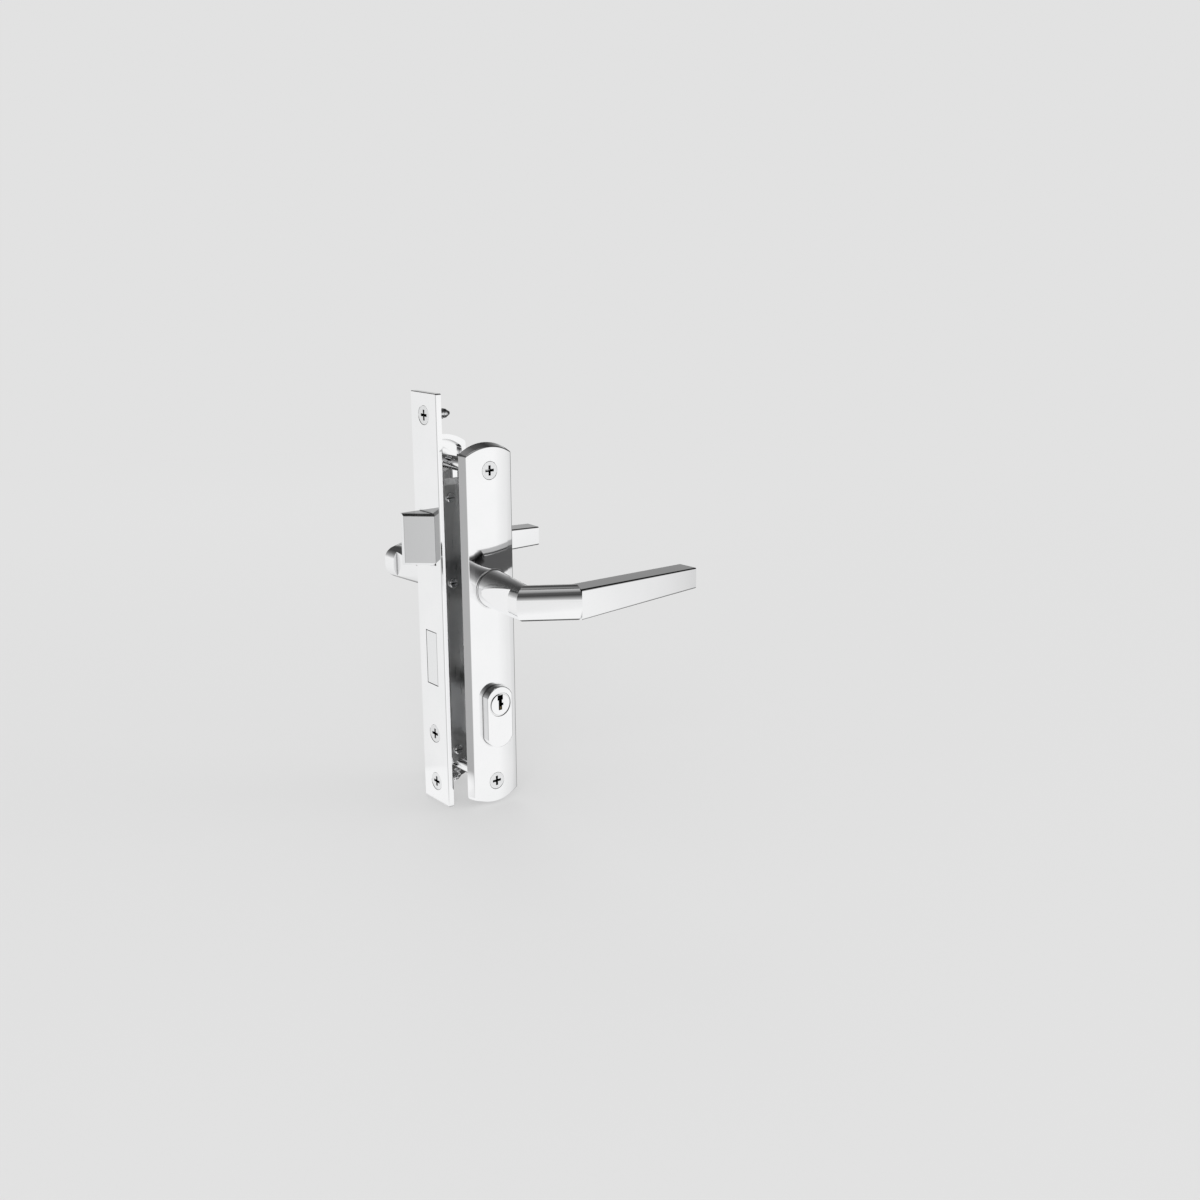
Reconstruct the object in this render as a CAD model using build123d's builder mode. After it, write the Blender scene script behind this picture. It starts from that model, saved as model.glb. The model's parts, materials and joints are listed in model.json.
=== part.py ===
from build123d import *
import os
from math import atan2, cos, degrees, radians, sin, sqrt

# Narrow mortise lock set, millimetres.
# The origin is on the back of the forend, midway between its two fixing screws.
# +X runs into the door away from the forend, +Y from the outer door face to the inner one, +Z up.

os.makedirs("parts", exist_ok=True)

# Door and forend
door_t = 36.0
forend_w = 22.0
forend_t = 3.0
forend_end = 10.75
forend_corner_r = 0.6
forend_bevel = 0.3
backset = 21.0
fixing_spacing = 185.0
fixing_head_r = 4.45
fixing_shank_r = 2.2
fixing_len = 14.0

# Countersunk screws
neck_step = 0.25
head_gap = 0.25
screw_sink = 0.15
head_rim = 0.05
cross_w_share = 0.3
cross_len_share = 1.15
cross_depth_share = 0.45
cross_taper = 9
tip_share = 0.4

# Heights measured from the lever spindle
latch_rise = 24.0
bolt_drop = 36.6
plug_drop = 58.1
screw_rise = 57.5

# Lock case
case_under_screw = 7.5
case_below_cyl = 9.6
screw_below_case = 9.6
fixing_below_flange = 4.9
case_behind_axis = 15.0
case_t = 17.0
case_wall = 1.5
fold_r = 1.4
pillar_r = 2.8
pillar_in = 6.0
pillar_from_forend = 5.0
pillar_over_spindle = 2.0
pillar_hole_r = 1.25
pillar_hole_depth = 8.0
case_screw_r = 1.2
case_screw_len = 7.0
case_screw_dome = 0.6
case_screw_slot = 0.6
case_screw_head_r = 2.4
case_screw_head_t = 1.2
flange_h = 7.0
stud_r = 1.5
stud_stand = 0.8

# Latch
latch_w = 13.0
latch_h = 25.2
latch_throw = 11.0
latch_tip_flat = 2.9
latch_head_len = 22.0
latch_edge_r = 0.5
latch_bevel_border = 1.2
latch_tail_w = 9.0
latch_tail_low = 1.4
latch_tail_high = 2.0
latch_slot_room = 1.0
latch_slot_h = 16.0
latch_lug_t = 3.8
latch_spring_r = 2.1
latch_spring_wire = 0.35
latch_spring_turns = 12
latch_bore_room = 0.5
latch_bore_rise = 5.0
latch_bore_start = 2.0
forend_gap = 0.15

# Follower
lever_turn = 45.0
follower_r = 8.5
follower_arm_t = 5.0
follower_shank_w = 3.0
follower_tip_r = 2.4
follower_low_arm = 12.0
bearing_r = 7.0
overtravel = 0.2
push_gap = 0.15
return_coil_r = 1.8
return_wire = 0.4
return_turns = 8
return_drop = 0.9
return_end_gap = 1.2

# Dead bolt
bolt_w = 9.3
bolt_h = 27.4
bolt_throw = 15.0
bolt_guide_r = 2.0
bolt_guide_x = 27.0
bolt_guide_down = 8.0
bolt_guide_end_gap = 0.2
bolt_bevel = 0.3
bolt_rear_gap = 0.5
cam_notch_x = 15.6
detent_x = 22.0
detent_depth = 0.9
detent_half_w = 1.6
nose_half_w = 4.5
nose_lift = 0.7
leaf_t = 0.5
leaf_w = 6.0
leaf_rise = 2.6
leaf_reach = 9.0

# Oblong cylinder
cyl_w = 14.6
cyl_above_plug = 9.1
cyl_below_plug = 22.3
cyl_end_rise = 5.0
cyl_corner_r = 1.2
cyl_edge_r = 0.4
cyl_stand_out = 9.7
plug_r = 6.15
plug_rim_r = 5.2
plug_rim_depth = 0.5
plug_stand = 0.1
plug_solid_end = 5.0
cam_gap = 10.4
cam_t = 9.4
cam_hub_r = 7.0
cam_r = 13.2
cam_lobe_w = 8.0
cam_slot_room = 1.0
clutch_r = 3.0
clutch_reach = 4.0
pin_r = 1.3
pin_gap = 0.06
pin_pitch = 3.2
pin_count = 5
first_pin = 11.4
pin_top = 2.2
driver_len = 5.2
pin_spring_len = 7.0
pin_spring_wall = 0.4
chamber_plug_in = 0.6
keyway_w = 2.0
keyway_h = 7.7
keyway_drop = 2.8
keyway_top_w = 3.2
keyway_top_h = 2.6
keyway_step_w = 0.8
keyway_step_h = 1.3
cyl_screw_up = 4.1
cyl_screw_r = 2.4
cyl_screw_past = 4.0
cyl_screw_head_r = 4.45

# Plates
plate_w = 25.7
plate_over_screw = 11.65
plate_under_screw = 10.95
plate_t = 4.5
plate_crown = 0.9
plate_draft = 1.2
plate_end_rise = 4.65
plate_corner_r = 2.0
plate_edge_r = 0.6
plate_pocket = 2.3
plate_rim = 2.4
boss_wall = 1.6
cyl_wall = 2.0
hub_r = 9.3
hub_stand = 1.8
hub_foot_r = 0.4
hub_room = 0.02
through_r = 2.0
through_head_r = 4.25
through_past_middle = 10.0
post_r = 3.5
post_len = 20.0
post_end = 3.0

# Lever
neck_root_r = 9.15
neck_end_r = 6.2
elbow_corner_r = 7.0
lever_lean = 4.6
lever_out = 31.5
first_run_x = 20.3
first_run_y = 13.4
first_run_corner_r = 4.8
first_run_h = 16.8
grip_x = 73.75
grip_back = 4.25
grip_h = 14.7
grip_d = 12.0
grip_corner_r = 1.1
tip_h = 10.5
tip_corner_r = 0.8
facet_start = 3.0
facet_end = 26.5
facet_depth = 1.7
journal_r = 6.9
journal_inset = 0.4
groove_w = 0.9
groove_depth = 0.7
groove_in = 1.3
bush_r = 8.2
square = 8.0
spindle_half = 38.0
spindle_bevel = 0.8
socket_room = 0.5
grub_r = 2.0
grub_out = 7.0
grub_len = 3.6
grub_hex_r = 1.15
grub_hex_depth = 1.6
clip_w = 2.25
clip_t = 0.8
clip_gap = 0.05
clip_mouth_w = 4.0
plate_spring_out = 3.2
plate_spring_wire = 0.45
plate_spring_turns = 1.5
plate_spring_inset = 0.2

# Clearances
fit = 0.05
slide_gap = 0.3
face_gap = 0.15
hole_gap = 0.1

# Derived places
forend_h = fixing_spacing + 2 * forend_end
case_top_rise = screw_rise - case_under_screw
case_bottom_drop = plug_drop + cyl_below_plug + case_below_cyl
screw_drop = case_bottom_drop + screw_below_case
spindle_x = backset - forend_t
spindle_z = case_bottom_drop + flange_h + fixing_below_flange - fixing_spacing / 2
latch_z = spindle_z + latch_rise
bolt_z = spindle_z - bolt_drop
plug_z = spindle_z - plug_drop
cyl_screw_z = plug_z - cyl_below_plug + cyl_screw_up
plate_h = plate_over_screw + screw_rise + screw_drop + plate_under_screw
plate_z = spindle_z - screw_drop - plate_under_screw + plate_h / 2
case_d = spindle_x + case_behind_axis
case_half = case_t / 2
case_in = case_half - case_wall
case_top = spindle_z + case_top_rise
case_bottom = spindle_z - case_bottom_drop
case_h = case_top - case_bottom
case_mid_z = (case_top + case_bottom) / 2
door_face = door_t / 2
plate_edge = door_face + plate_t
plate_front = plate_edge + plate_crown
hub_front = plate_edge + hub_stand
neck_start = hub_front + face_gap
screw_heights = (spindle_z + screw_rise, spindle_z - screw_drop)
flange_heights = (case_top + flange_h / 2, case_bottom - flange_h / 2)
half_turn = radians(lever_turn / 2)
arm_len = (latch_throw + overtravel) / (2 * sin(half_turn))
socket = square + 2 * fit


def at_y(y):
    # A plane square to the door's thickness: X to the right, Z up, facing the outer side
    return Plane.XZ.offset(-y)


def at_x(x):
    return Plane.YZ.offset(x)


forend_face = Plane(origin=(-forend_t, 0, 0), x_dir=(0, -1, 0), z_dir=(-1, 0, 0))


def pill(width, low, high, rise, corner, grow=0.0):
    # An upright outline with straight sides and shallow arcs at both ends
    half = width / 2 + grow
    low, high = low - grow, high + grow
    with BuildSketch() as outline:
        with BuildLine():
            Line((-half, low + rise), (-half, high - rise))
            ThreePointArc((-half, high - rise), (0, high), (half, high - rise))
            Line((half, high - rise), (half, low + rise))
            ThreePointArc((half, low + rise), (0, low), (-half, low + rise))
        make_face()
        fillet(outline.vertices(), corner)
    return outline.sketch


def cylinder_outline(grow=0.0):
    return pill(cyl_w, -cyl_below_plug, cyl_above_plug, cyl_end_rise, cyl_corner_r, grow)


def plate_outline(grow=0.0):
    return pill(plate_w, -plate_h / 2, plate_h / 2, plate_end_rise, plate_corner_r, grow)


def countersunk_screw(head_r, shank_r, length, held_t):
    # The head's face is at z = 0 and the shank runs down -Z.
    # Inside the plate that it holds, held_t thick, the shank is a little thicker.
    neck_r = shank_r + neck_step
    cross_w = head_r * cross_w_share
    cross_len = head_r * cross_len_share
    with BuildPart() as screw:
        with BuildSketch(Plane.XZ):
            with BuildLine():
                Polyline((0, 0), (head_r, 0), (head_r, -head_rim), (neck_r, -head_rim - head_r + neck_r),
                         (neck_r, -held_t), (shank_r, -held_t), (shank_r, -length + shank_r),
                         (shank_r * tip_share, -length), (0, -length), close=True)
            make_face()
        revolve(axis=Axis.Z)
        with BuildSketch():
            Rectangle(cross_w, cross_len)
            Rectangle(cross_len, cross_w)
        extrude(amount=-head_r * cross_depth_share, taper=cross_taper, mode=Mode.SUBTRACT)
    return screw.part


def screw_hole(head_r, shank_r):
    # A countersunk hole for the screw above, seen as a dark ring round its sunk head
    CounterSinkHole(shank_r + neck_step + hole_gap, head_r + head_gap, counter_sink_angle=90)


def compression_spring(mean_r, wire_r, length, turns):
    # The coil's axis is +Z from z = 0
    with BuildPart() as coil:
        with BuildLine() as path:
            Helix(pitch=(length - 2 * wire_r) / turns, height=length - 2 * wire_r, radius=mean_r)
        with BuildSketch(Plane(origin=path.line @ 0, z_dir=path.line % 0)):
            RegularPolygon(wire_r, 6)
        sweep(is_frenet=True)
    return coil.part.moved(Location((0, 0, wire_r)))


def finish(builder, name):
    builder.part.label = name
    export_step(builder.part, "parts/" + name + ".step")


# Forend: a flat plate with the latch and bolt openings and the countersunk screw holes
with BuildPart() as forend:
    with BuildSketch(at_x(-forend_t)):
        RectangleRounded(forend_w, forend_h, forend_corner_r)
        with Locations((0, latch_z)):
            Rectangle(latch_w + 2 * forend_gap, latch_h + 2 * forend_gap, mode=Mode.SUBTRACT)
        with Locations((0, bolt_z)):
            Rectangle(bolt_w + 2 * forend_gap, bolt_h + 2 * forend_gap, mode=Mode.SUBTRACT)
    extrude(amount=forend_t)
    chamfer(forend.faces().sort_by(Axis.X)[0].outer_wire().edges(), forend_bevel)
    with Locations(forend_face):
        with Locations((0, fixing_spacing / 2), (0, -fixing_spacing / 2)):
            screw_hole(fixing_head_r, fixing_shank_r)
        with Locations((0, cyl_screw_z)):
            screw_hole(cyl_screw_head_r, cyl_screw_r)
    # Short studs that go through the case flanges and are peened over
    with BuildSketch(at_x(0)):
        with Locations(*[(0, z) for z in flange_heights]):
            Circle(stud_r)
    extrude(amount=case_wall + stud_stand)
finish(forend, "forend")

fixing_screw = countersunk_screw(fixing_head_r, fixing_shank_r, fixing_len, forend_t - screw_sink)
with BuildPart() as forend_screws:
    with Locations(forend_face):
        with Locations((0, fixing_spacing / 2, -screw_sink), (0, -fixing_spacing / 2, -screw_sink)):
            add(fixing_screw)
finish(forend_screws, "forend_screws")

# Case: a folded tray with one side wall, and a flat cover screwed to its pillars
pillars = [(x, z) for x in (pillar_from_forend, case_d - pillar_in)
           for z in (case_top - pillar_in, case_bottom + pillar_in)]
pillars.append((pillar_from_forend, spindle_z + pillar_over_spindle))
guide_z = bolt_z + bolt_h / 2 - bolt_guide_down
guide_slot_x = bolt_guide_x - bolt_throw / 2
guide_slot_len = bolt_throw + 2 * (bolt_guide_r + slide_gap)


def side_holes():
    # What both case sides have: bearing hole, cylinder hole and the bolt's guide slot
    with Locations((spindle_x, spindle_z)):
        Circle(bearing_r + fit, mode=Mode.SUBTRACT)
    with Locations((spindle_x, plug_z)):
        add(cylinder_outline(slide_gap), mode=Mode.SUBTRACT)
    with Locations((guide_slot_x, guide_z)):
        SlotOverall(guide_slot_len, 2 * (bolt_guide_r + slide_gap), mode=Mode.SUBTRACT)


with BuildPart() as case_tray:
    with BuildSketch(at_y(case_half)):
        with Locations((case_d / 2, case_mid_z)):
            Rectangle(case_d, case_h)
        side_holes()
    extrude(amount=case_wall)
    with BuildSketch(at_y(case_in)):
        with Locations((case_d / 2, case_mid_z)):
            Rectangle(case_d, case_h)
        with Locations(((case_d - case_wall) / 2, case_mid_z)):
            Rectangle(case_d - case_wall, case_h - 2 * case_wall, mode=Mode.SUBTRACT)
    extrude(amount=2 * case_in)
    fillet(case_tray.edges().filter_by(Axis.Y).group_by(Axis.X)[-1], fold_r)
    with BuildSketch(at_y(case_in)):
        with Locations(*[(case_wall / 2, z) for z in flange_heights]):
            Rectangle(case_wall, flange_h)
    extrude(amount=2 * case_in)
    with BuildSketch(at_x(0)):
        with Locations(*[(0, z) for z in flange_heights]):
            Circle(stud_r + hole_gap)
    extrude(amount=case_wall, mode=Mode.SUBTRACT)
    with BuildSketch(at_y(case_in)):
        with Locations(*pillars):
            Circle(pillar_r)
    extrude(amount=2 * case_in)
    with BuildSketch(at_y(-case_in)):
        with Locations(*pillars):
            Circle(pillar_hole_r)
    extrude(amount=-pillar_hole_depth, mode=Mode.SUBTRACT)
finish(case_tray, "case_tray")

with BuildPart() as case_cover:
    with BuildSketch(at_y(-case_in)):
        with Locations((case_d / 2, case_mid_z)):
            Rectangle(case_d, case_h)
        side_holes()
        with Locations(*pillars):
            Circle(case_screw_r + hole_gap, mode=Mode.SUBTRACT)
    extrude(amount=case_wall)
    fillet(case_cover.edges().filter_by(Axis.Y).group_by(Axis.X)[-1], fold_r)
finish(case_cover, "case_cover")

with BuildPart() as case_screws:
    with BuildSketch(at_y(-case_half)):
        with Locations(*pillars):
            Circle(case_screw_head_r)
    extrude(amount=case_screw_head_t)
    fillet(case_screws.edges().group_by(Axis.Y)[0], case_screw_dome)
    with BuildSketch(at_y(-case_half)):
        with Locations(*pillars):
            Circle(case_screw_r)
    extrude(amount=-case_screw_len)
    with BuildSketch(at_y(-case_half - case_screw_head_t)):
        with Locations(*pillars):
            Rectangle(2 * case_screw_head_r, case_screw_slot)
    extrude(amount=-case_screw_slot, mode=Mode.SUBTRACT)
finish(case_screws, "case_screws")

# Follower: turns in the case sides, its upper arm draws the latch and its lower arm meets the return spring
arm_tilt = Vector(-sin(half_turn), cos(half_turn))


def arm(direction, length, tip_r):
    # A straight shank from the hub to a round tip
    with Locations((spindle_x + direction.X * length, spindle_z + direction.Y * length)):
        Circle(tip_r)
    with Locations((spindle_x + direction.X * length / 2, spindle_z + direction.Y * length / 2)):
        Rectangle(follower_shank_w, length, rotation=degrees(atan2(direction.Y, direction.X)) - 90)


with BuildPart() as follower:
    with BuildSketch(at_y(case_in - face_gap)):
        with Locations((spindle_x, spindle_z)):
            Circle(follower_r)
    extrude(amount=2 * (case_in - face_gap))
    with BuildSketch(at_y(case_half)):
        with Locations((spindle_x, spindle_z)):
            Circle(bearing_r)
    extrude(amount=case_t)
    with BuildSketch(at_y(follower_arm_t / 2)):
        arm(arm_tilt, arm_len, follower_tip_r)
        arm(-arm_tilt, follower_low_arm, follower_tip_r)
    extrude(amount=follower_arm_t)
    with BuildSketch(at_y(case_half)):
        with Locations((spindle_x, spindle_z)):
            Rectangle(socket, socket)
    extrude(amount=case_t, mode=Mode.SUBTRACT)
finish(follower, "follower")

# Latch: a bevelled head, and a tail with a slot for the follower's arm and a bore for its spring
latch_tip_x = -forend_t - latch_throw
latch_head_end = latch_tip_x + latch_head_len
arm_tip_x = spindle_x - arm_len * sin(half_turn)
lug_x = arm_tip_x + follower_tip_r + push_gap
latch_end = lug_x + latch_lug_t
latch_low = latch_z - latch_h / 2
latch_high = latch_z + latch_h / 2
latch_bore_r = latch_spring_r + latch_bore_room
latch_bore_z = latch_z + latch_bore_rise
tail_low = latch_low + latch_tail_low
slot_front = arm_tip_x - follower_tip_r - latch_slot_room
bevel_mid = Vector((latch_tip_x - forend_t) / 2, -latch_tip_flat / 2)
with BuildPart() as latch_bolt:
    with BuildSketch(Plane.XY.offset(latch_low)):
        with BuildLine():
            Polyline((latch_tip_x, latch_w / 2), (latch_tip_x, latch_w / 2 - latch_tip_flat),
                     (-forend_t, -latch_w / 2), (latch_head_end, -latch_w / 2),
                     (latch_head_end, latch_w / 2), close=True)
        make_face()
    extrude(amount=latch_h)
    # The bevel's upper and lower edges, next to the wide face of the head
    chamfer(latch_bolt.edges().filter_by(
        lambda edge: abs(edge.center().X - bevel_mid.X) < 1 and abs(edge.center().Y - bevel_mid.Y) < 1
        and edge.length < latch_w + latch_throw), latch_bevel_border)
    fillet(latch_bolt.edges().filter_by(Axis.Z).sort_by(Axis.X)[0:2], latch_edge_r)
    with BuildSketch(Plane.XY.offset(tail_low)):
        with Locations(((latch_head_end + latch_end) / 2, 0)):
            Rectangle(latch_end - latch_head_end, latch_tail_w)
    extrude(amount=latch_high - latch_tail_high - tail_low)
    with BuildSketch(at_y(follower_arm_t / 2 + slide_gap)):
        with Locations(((slot_front + lug_x) / 2, latch_low)):
            Rectangle(lug_x - slot_front, latch_slot_h)
    extrude(amount=follower_arm_t + 2 * slide_gap, mode=Mode.SUBTRACT)
    with BuildSketch(at_x(latch_end)):
        with Locations((0, latch_bore_z)):
            Circle(latch_bore_r)
    extrude(amount=latch_bore_start - latch_end, mode=Mode.SUBTRACT)
finish(latch_bolt, "latch_bolt")

# Both springs inside the case stand on the forend side or the back wall and lie along X
with BuildPart() as latch_spring:
    add(compression_spring(latch_spring_r, latch_spring_wire,
                           case_d - case_wall - latch_bore_start - 2 * hole_gap, latch_spring_turns)
        .moved(Location((latch_bore_start + hole_gap, 0, latch_bore_z), (0, 90, 0))))
finish(latch_spring, "latch_spring")

low_arm_x = spindle_x + follower_low_arm * sin(half_turn)
low_arm_z = spindle_z - follower_low_arm * cos(half_turn)
return_spring_len = low_arm_x - follower_tip_r - return_end_gap
with BuildPart() as follower_spring:
    add(compression_spring(return_coil_r, return_wire, return_spring_len, return_turns)
        .moved(Location((hole_gap, 0, low_arm_z - return_drop), (0, 90, 0))))
finish(follower_spring, "follower_spring")

# Dead bolt: flush when drawn back, with its lower rear corner cut away for the cam,
# two studs that run in the case sides and a notch for the detent
bolt_front = -forend_t
bolt_end = case_d - case_wall - bolt_rear_gap
bolt_low = bolt_z - bolt_h / 2
bolt_high = bolt_z + bolt_h / 2
cam_top = plug_z + cam_r
with BuildPart() as dead_bolt:
    with BuildSketch(at_y(bolt_w / 2)):
        with BuildLine():
            Polyline((bolt_front, bolt_low), (cam_notch_x, bolt_low), (cam_notch_x, cam_top + slide_gap),
                     (bolt_end, cam_top + slide_gap), (bolt_end, bolt_high),
                     (detent_x + detent_half_w, bolt_high), (detent_x, bolt_high - detent_depth),
                     (detent_x - detent_half_w, bolt_high), (bolt_front, bolt_high), close=True)
        make_face()
    extrude(amount=bolt_w)
    chamfer(dead_bolt.faces().sort_by(Axis.X)[0].edges(), bolt_bevel)
    with BuildSketch(at_y(case_half - bolt_guide_end_gap)):
        with Locations((bolt_guide_x, guide_z)):
            Circle(bolt_guide_r)
    extrude(amount=2 * (case_half - bolt_guide_end_gap))
finish(dead_bolt, "dead_bolt")

# Detent: a leaf fixed to the rear wall, with its nose in the bolt's notch
leaf_z = bolt_high + leaf_rise
with BuildPart() as bolt_detent:
    with BuildSketch(at_y(leaf_w / 2)):
        with BuildLine():
            nose = Polyline((case_d - case_wall - leaf_t / 2 - fit, leaf_z),
                            (detent_x + nose_half_w, leaf_z),
                            (detent_x, bolt_high - detent_depth + nose_lift),
                            (detent_x - nose_half_w, leaf_z), (detent_x - leaf_reach, leaf_z))
            offset(nose, amount=leaf_t / 2)
        make_face()
    extrude(amount=leaf_w)
finish(bolt_detent, "bolt_detent")

# Cylinder: one oblong body with a plug from each side, and the cam between them
cyl_front = door_face + cyl_stand_out
plug_front = cyl_front + plug_stand
half_gap = cam_gap / 2
cam_half = cam_t / 2
plug_back = half_gap + hole_gap
cyl_h = cyl_above_plug + cyl_below_plug
pin_places = [first_pin + pin_pitch * i for i in range(pin_count)]
chamber_r = pin_r + pin_gap

with BuildPart() as cylinder_body:
    with BuildSketch(at_y(cyl_front)):
        with Locations((spindle_x, plug_z)):
            add(cylinder_outline())
    extrude(amount=2 * cyl_front)
    fillet(cylinder_body.faces().sort_by(Axis.Y)[0].outer_wire().edges(), cyl_edge_r)
    fillet(cylinder_body.faces().sort_by(Axis.Y)[-1].outer_wire().edges(), cyl_edge_r)
    with BuildSketch(at_y(cyl_front)):
        with Locations((spindle_x, plug_z)):
            Circle(plug_r + fit)
    extrude(amount=2 * cyl_front, mode=Mode.SUBTRACT)
    with BuildSketch(at_y(half_gap)):
        with Locations((spindle_x, plug_z - cam_r - cam_slot_room)):
            Rectangle(2 * cyl_w, cyl_h, align=(Align.CENTER, Align.MIN))
    extrude(amount=cam_gap, mode=Mode.SUBTRACT)
    with BuildSketch(Plane.XY.offset(plug_z - cyl_below_plug)):
        with Locations(*[(spindle_x, side * y) for y in pin_places for side in (-1, 1)]):
            Circle(chamber_r)
    extrude(amount=cyl_below_plug - plug_r / 2, mode=Mode.SUBTRACT)
    with BuildSketch(at_x(spindle_x - cyl_w / 2)):
        with Locations((0, cyl_screw_z)):
            Circle(cyl_screw_r + fit)
    extrude(amount=cyl_w, mode=Mode.SUBTRACT)
finish(cylinder_body, "cylinder_body")


def keyway():
    # A slot with a wide head and a step at one side. The pins come up through its lower end.
    Rectangle(keyway_w, keyway_h, align=(Align.CENTER, Align.MIN))
    with Locations((0, keyway_h)):
        Rectangle(keyway_top_w, keyway_top_h, align=(Align.CENTER, Align.MAX))
    with Locations((keyway_w / 2, keyway_drop)):
        Rectangle(2 * keyway_step_w, keyway_step_h)


def make_plug(side):
    # side is -1 for the outer plug and 1 for the inner one
    front = at_y(side * plug_front)
    back = at_y(side * plug_back)
    inward = plug_front - plug_back
    with BuildPart() as plug:
        with BuildSketch(front):
            with Locations((spindle_x, plug_z)):
                Circle(plug_r)
        extrude(amount=side * inward)
        with BuildSketch(front):
            with Locations((spindle_x, plug_z)):
                Circle(plug_r)
                Circle(plug_rim_r, mode=Mode.SUBTRACT)
        extrude(amount=side * plug_rim_depth, mode=Mode.SUBTRACT)
        with BuildSketch(front):
            with Locations((spindle_x, plug_z - keyway_drop)):
                keyway()
        extrude(amount=side * (inward - plug_solid_end), mode=Mode.SUBTRACT)
        with BuildSketch(back):
            with Locations((spindle_x, plug_z)):
                Circle(clutch_r + fit)
        extrude(amount=-side * (clutch_reach + 2 * hole_gap), mode=Mode.SUBTRACT)
        with BuildSketch(Plane.XY.offset(plug_z - plug_r)):
            with Locations(*[(spindle_x, side * y) for y in pin_places]):
                Circle(chamber_r)
        extrude(amount=plug_r - pin_top + hole_gap, mode=Mode.SUBTRACT)
    return plug


def make_pins(side, radius, low, high, hollow=0.0):
    with BuildPart() as pins:
        with BuildSketch(Plane.XY.offset(low)):
            with Locations(*[(spindle_x, side * y) for y in pin_places]):
                Circle(radius)
                if hollow:
                    Circle(hollow, mode=Mode.SUBTRACT)
        extrude(amount=high - low)
    return pins


key_pin_low = plug_z - sqrt(plug_r ** 2 - pin_r ** 2) + fit
driver_top = plug_z - plug_r - 2 * fit
spring_top = driver_top - driver_len
spring_low = spring_top - pin_spring_len
chamber_end = plug_z - cyl_below_plug + chamber_plug_in
for side, name in ((-1, "outer"), (1, "inner")):
    finish(make_plug(side), name + "_plug")
    finish(make_pins(side, pin_r, key_pin_low, plug_z - pin_top), name + "_key_pins")
    finish(make_pins(side, pin_r, spring_top, driver_top), name + "_driver_pins")
    finish(make_pins(side, pin_r - hole_gap, spring_low, spring_top, pin_r - hole_gap - pin_spring_wall),
           name + "_pin_springs")
    finish(make_pins(side, pin_r, chamber_end, spring_low), name + "_chamber_plugs")

# The cam is carried by the clutch, which sits in the outer plug and stops short of the inner one
with BuildPart() as cylinder_cam:
    with BuildSketch(at_y(cam_half)):
        with Locations((spindle_x, plug_z)):
            Circle(cam_hub_r)
        with BuildSketch(mode=Mode.PRIVATE) as lobe:
            with Locations((spindle_x, plug_z)):
                Circle(cam_r)
                Rectangle(cam_lobe_w, cam_r, align=(Align.CENTER, Align.MAX), mode=Mode.INTERSECT)
        add(lobe.sketch)
        with Locations((spindle_x, plug_z)):
            Circle(clutch_r + fit, mode=Mode.SUBTRACT)
    extrude(amount=cam_t)
finish(cylinder_cam, "cylinder_cam")

with BuildPart() as clutch:
    with BuildSketch(at_y(cam_half)):
        with Locations((spindle_x, plug_z)):
            Circle(clutch_r)
    extrude(amount=cam_half + plug_back + clutch_reach)
finish(clutch, "clutch")

cyl_screw_len = forend_t + spindle_x + cyl_screw_past
with BuildPart() as cylinder_screw:
    with Locations(forend_face):
        with Locations((0, cyl_screw_z, -screw_sink)):
            add(countersunk_screw(cyl_screw_head_r, cyl_screw_r, cyl_screw_len, forend_t - screw_sink))
finish(cylinder_screw, "cylinder_screw")

# Plates: drafted castings with a crowned front, a round hub for the lever and a hollow back
draft_angle = degrees(atan2(plate_draft, plate_t))
crown_r = ((plate_w / 2) ** 2 + plate_crown ** 2) / (2 * plate_crown)
hub_hole_r = bush_r + hub_room


def make_plate():
    # Made on the outer side of the door, without its screw holes
    with BuildPart() as plate:
        with BuildSketch(at_y(-door_face)):
            with Locations((spindle_x, plate_z)):
                add(plate_outline(plate_draft))
        extrude(amount=plate_t + plate_crown, taper=draft_angle)
        with BuildSketch(Plane.XY.offset(plate_z)):
            with Locations((spindle_x, crown_r - plate_front)):
                Circle(crown_r)
        extrude(amount=plate_h, both=True, mode=Mode.INTERSECT)
        fillet(plate.faces().sort_by(Axis.Y)[0].outer_wire().edges(), plate_edge_r)
        with BuildSketch(at_y(-plate_edge)):
            with Locations((spindle_x, spindle_z)):
                Circle(hub_r)
        extrude(amount=hub_stand)
        hub_centre = Vector(spindle_x, -plate_front, spindle_z)
        hub_foot = plate.edges().filter_by(
            lambda edge: edge.length > 2 * hub_r and (edge.center(CenterOf.BOUNDING_BOX) - hub_centre).length
            < hub_r / 2 and edge.bounding_box().max.Y > -hub_front + hub_foot_r)
        fillet(hub_foot, hub_foot_r)
        with BuildSketch(at_y(-door_face)):
            with Locations((spindle_x, plate_z)):
                add(plate_outline(plate_draft - plate_rim))
            with Locations(*[(spindle_x, z) for z in screw_heights]):
                Circle(through_head_r + boss_wall, mode=Mode.SUBTRACT)
            with Locations((spindle_x, plug_z)):
                add(cylinder_outline(cyl_wall), mode=Mode.SUBTRACT)
        extrude(amount=plate_pocket, mode=Mode.SUBTRACT)
        with BuildSketch(at_y(-door_face)):
            with Locations((spindle_x, spindle_z)):
                Circle(hub_hole_r)
            with Locations((spindle_x, plug_z)):
                add(cylinder_outline(hole_gap))
        extrude(amount=plate_t + hub_stand, mode=Mode.SUBTRACT)
    return plate.part


plate_front_face = Plane(origin=(0, -plate_front, 0), x_dir=(1, 0, 0), z_dir=(0, -1, 0))
with BuildPart() as outer_plate:
    add(make_plate())
    with Locations(plate_front_face):
        with Locations(*[(spindle_x, z) for z in screw_heights]):
            screw_hole(through_head_r, through_r)
finish(outer_plate, "outer_plate")

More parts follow.
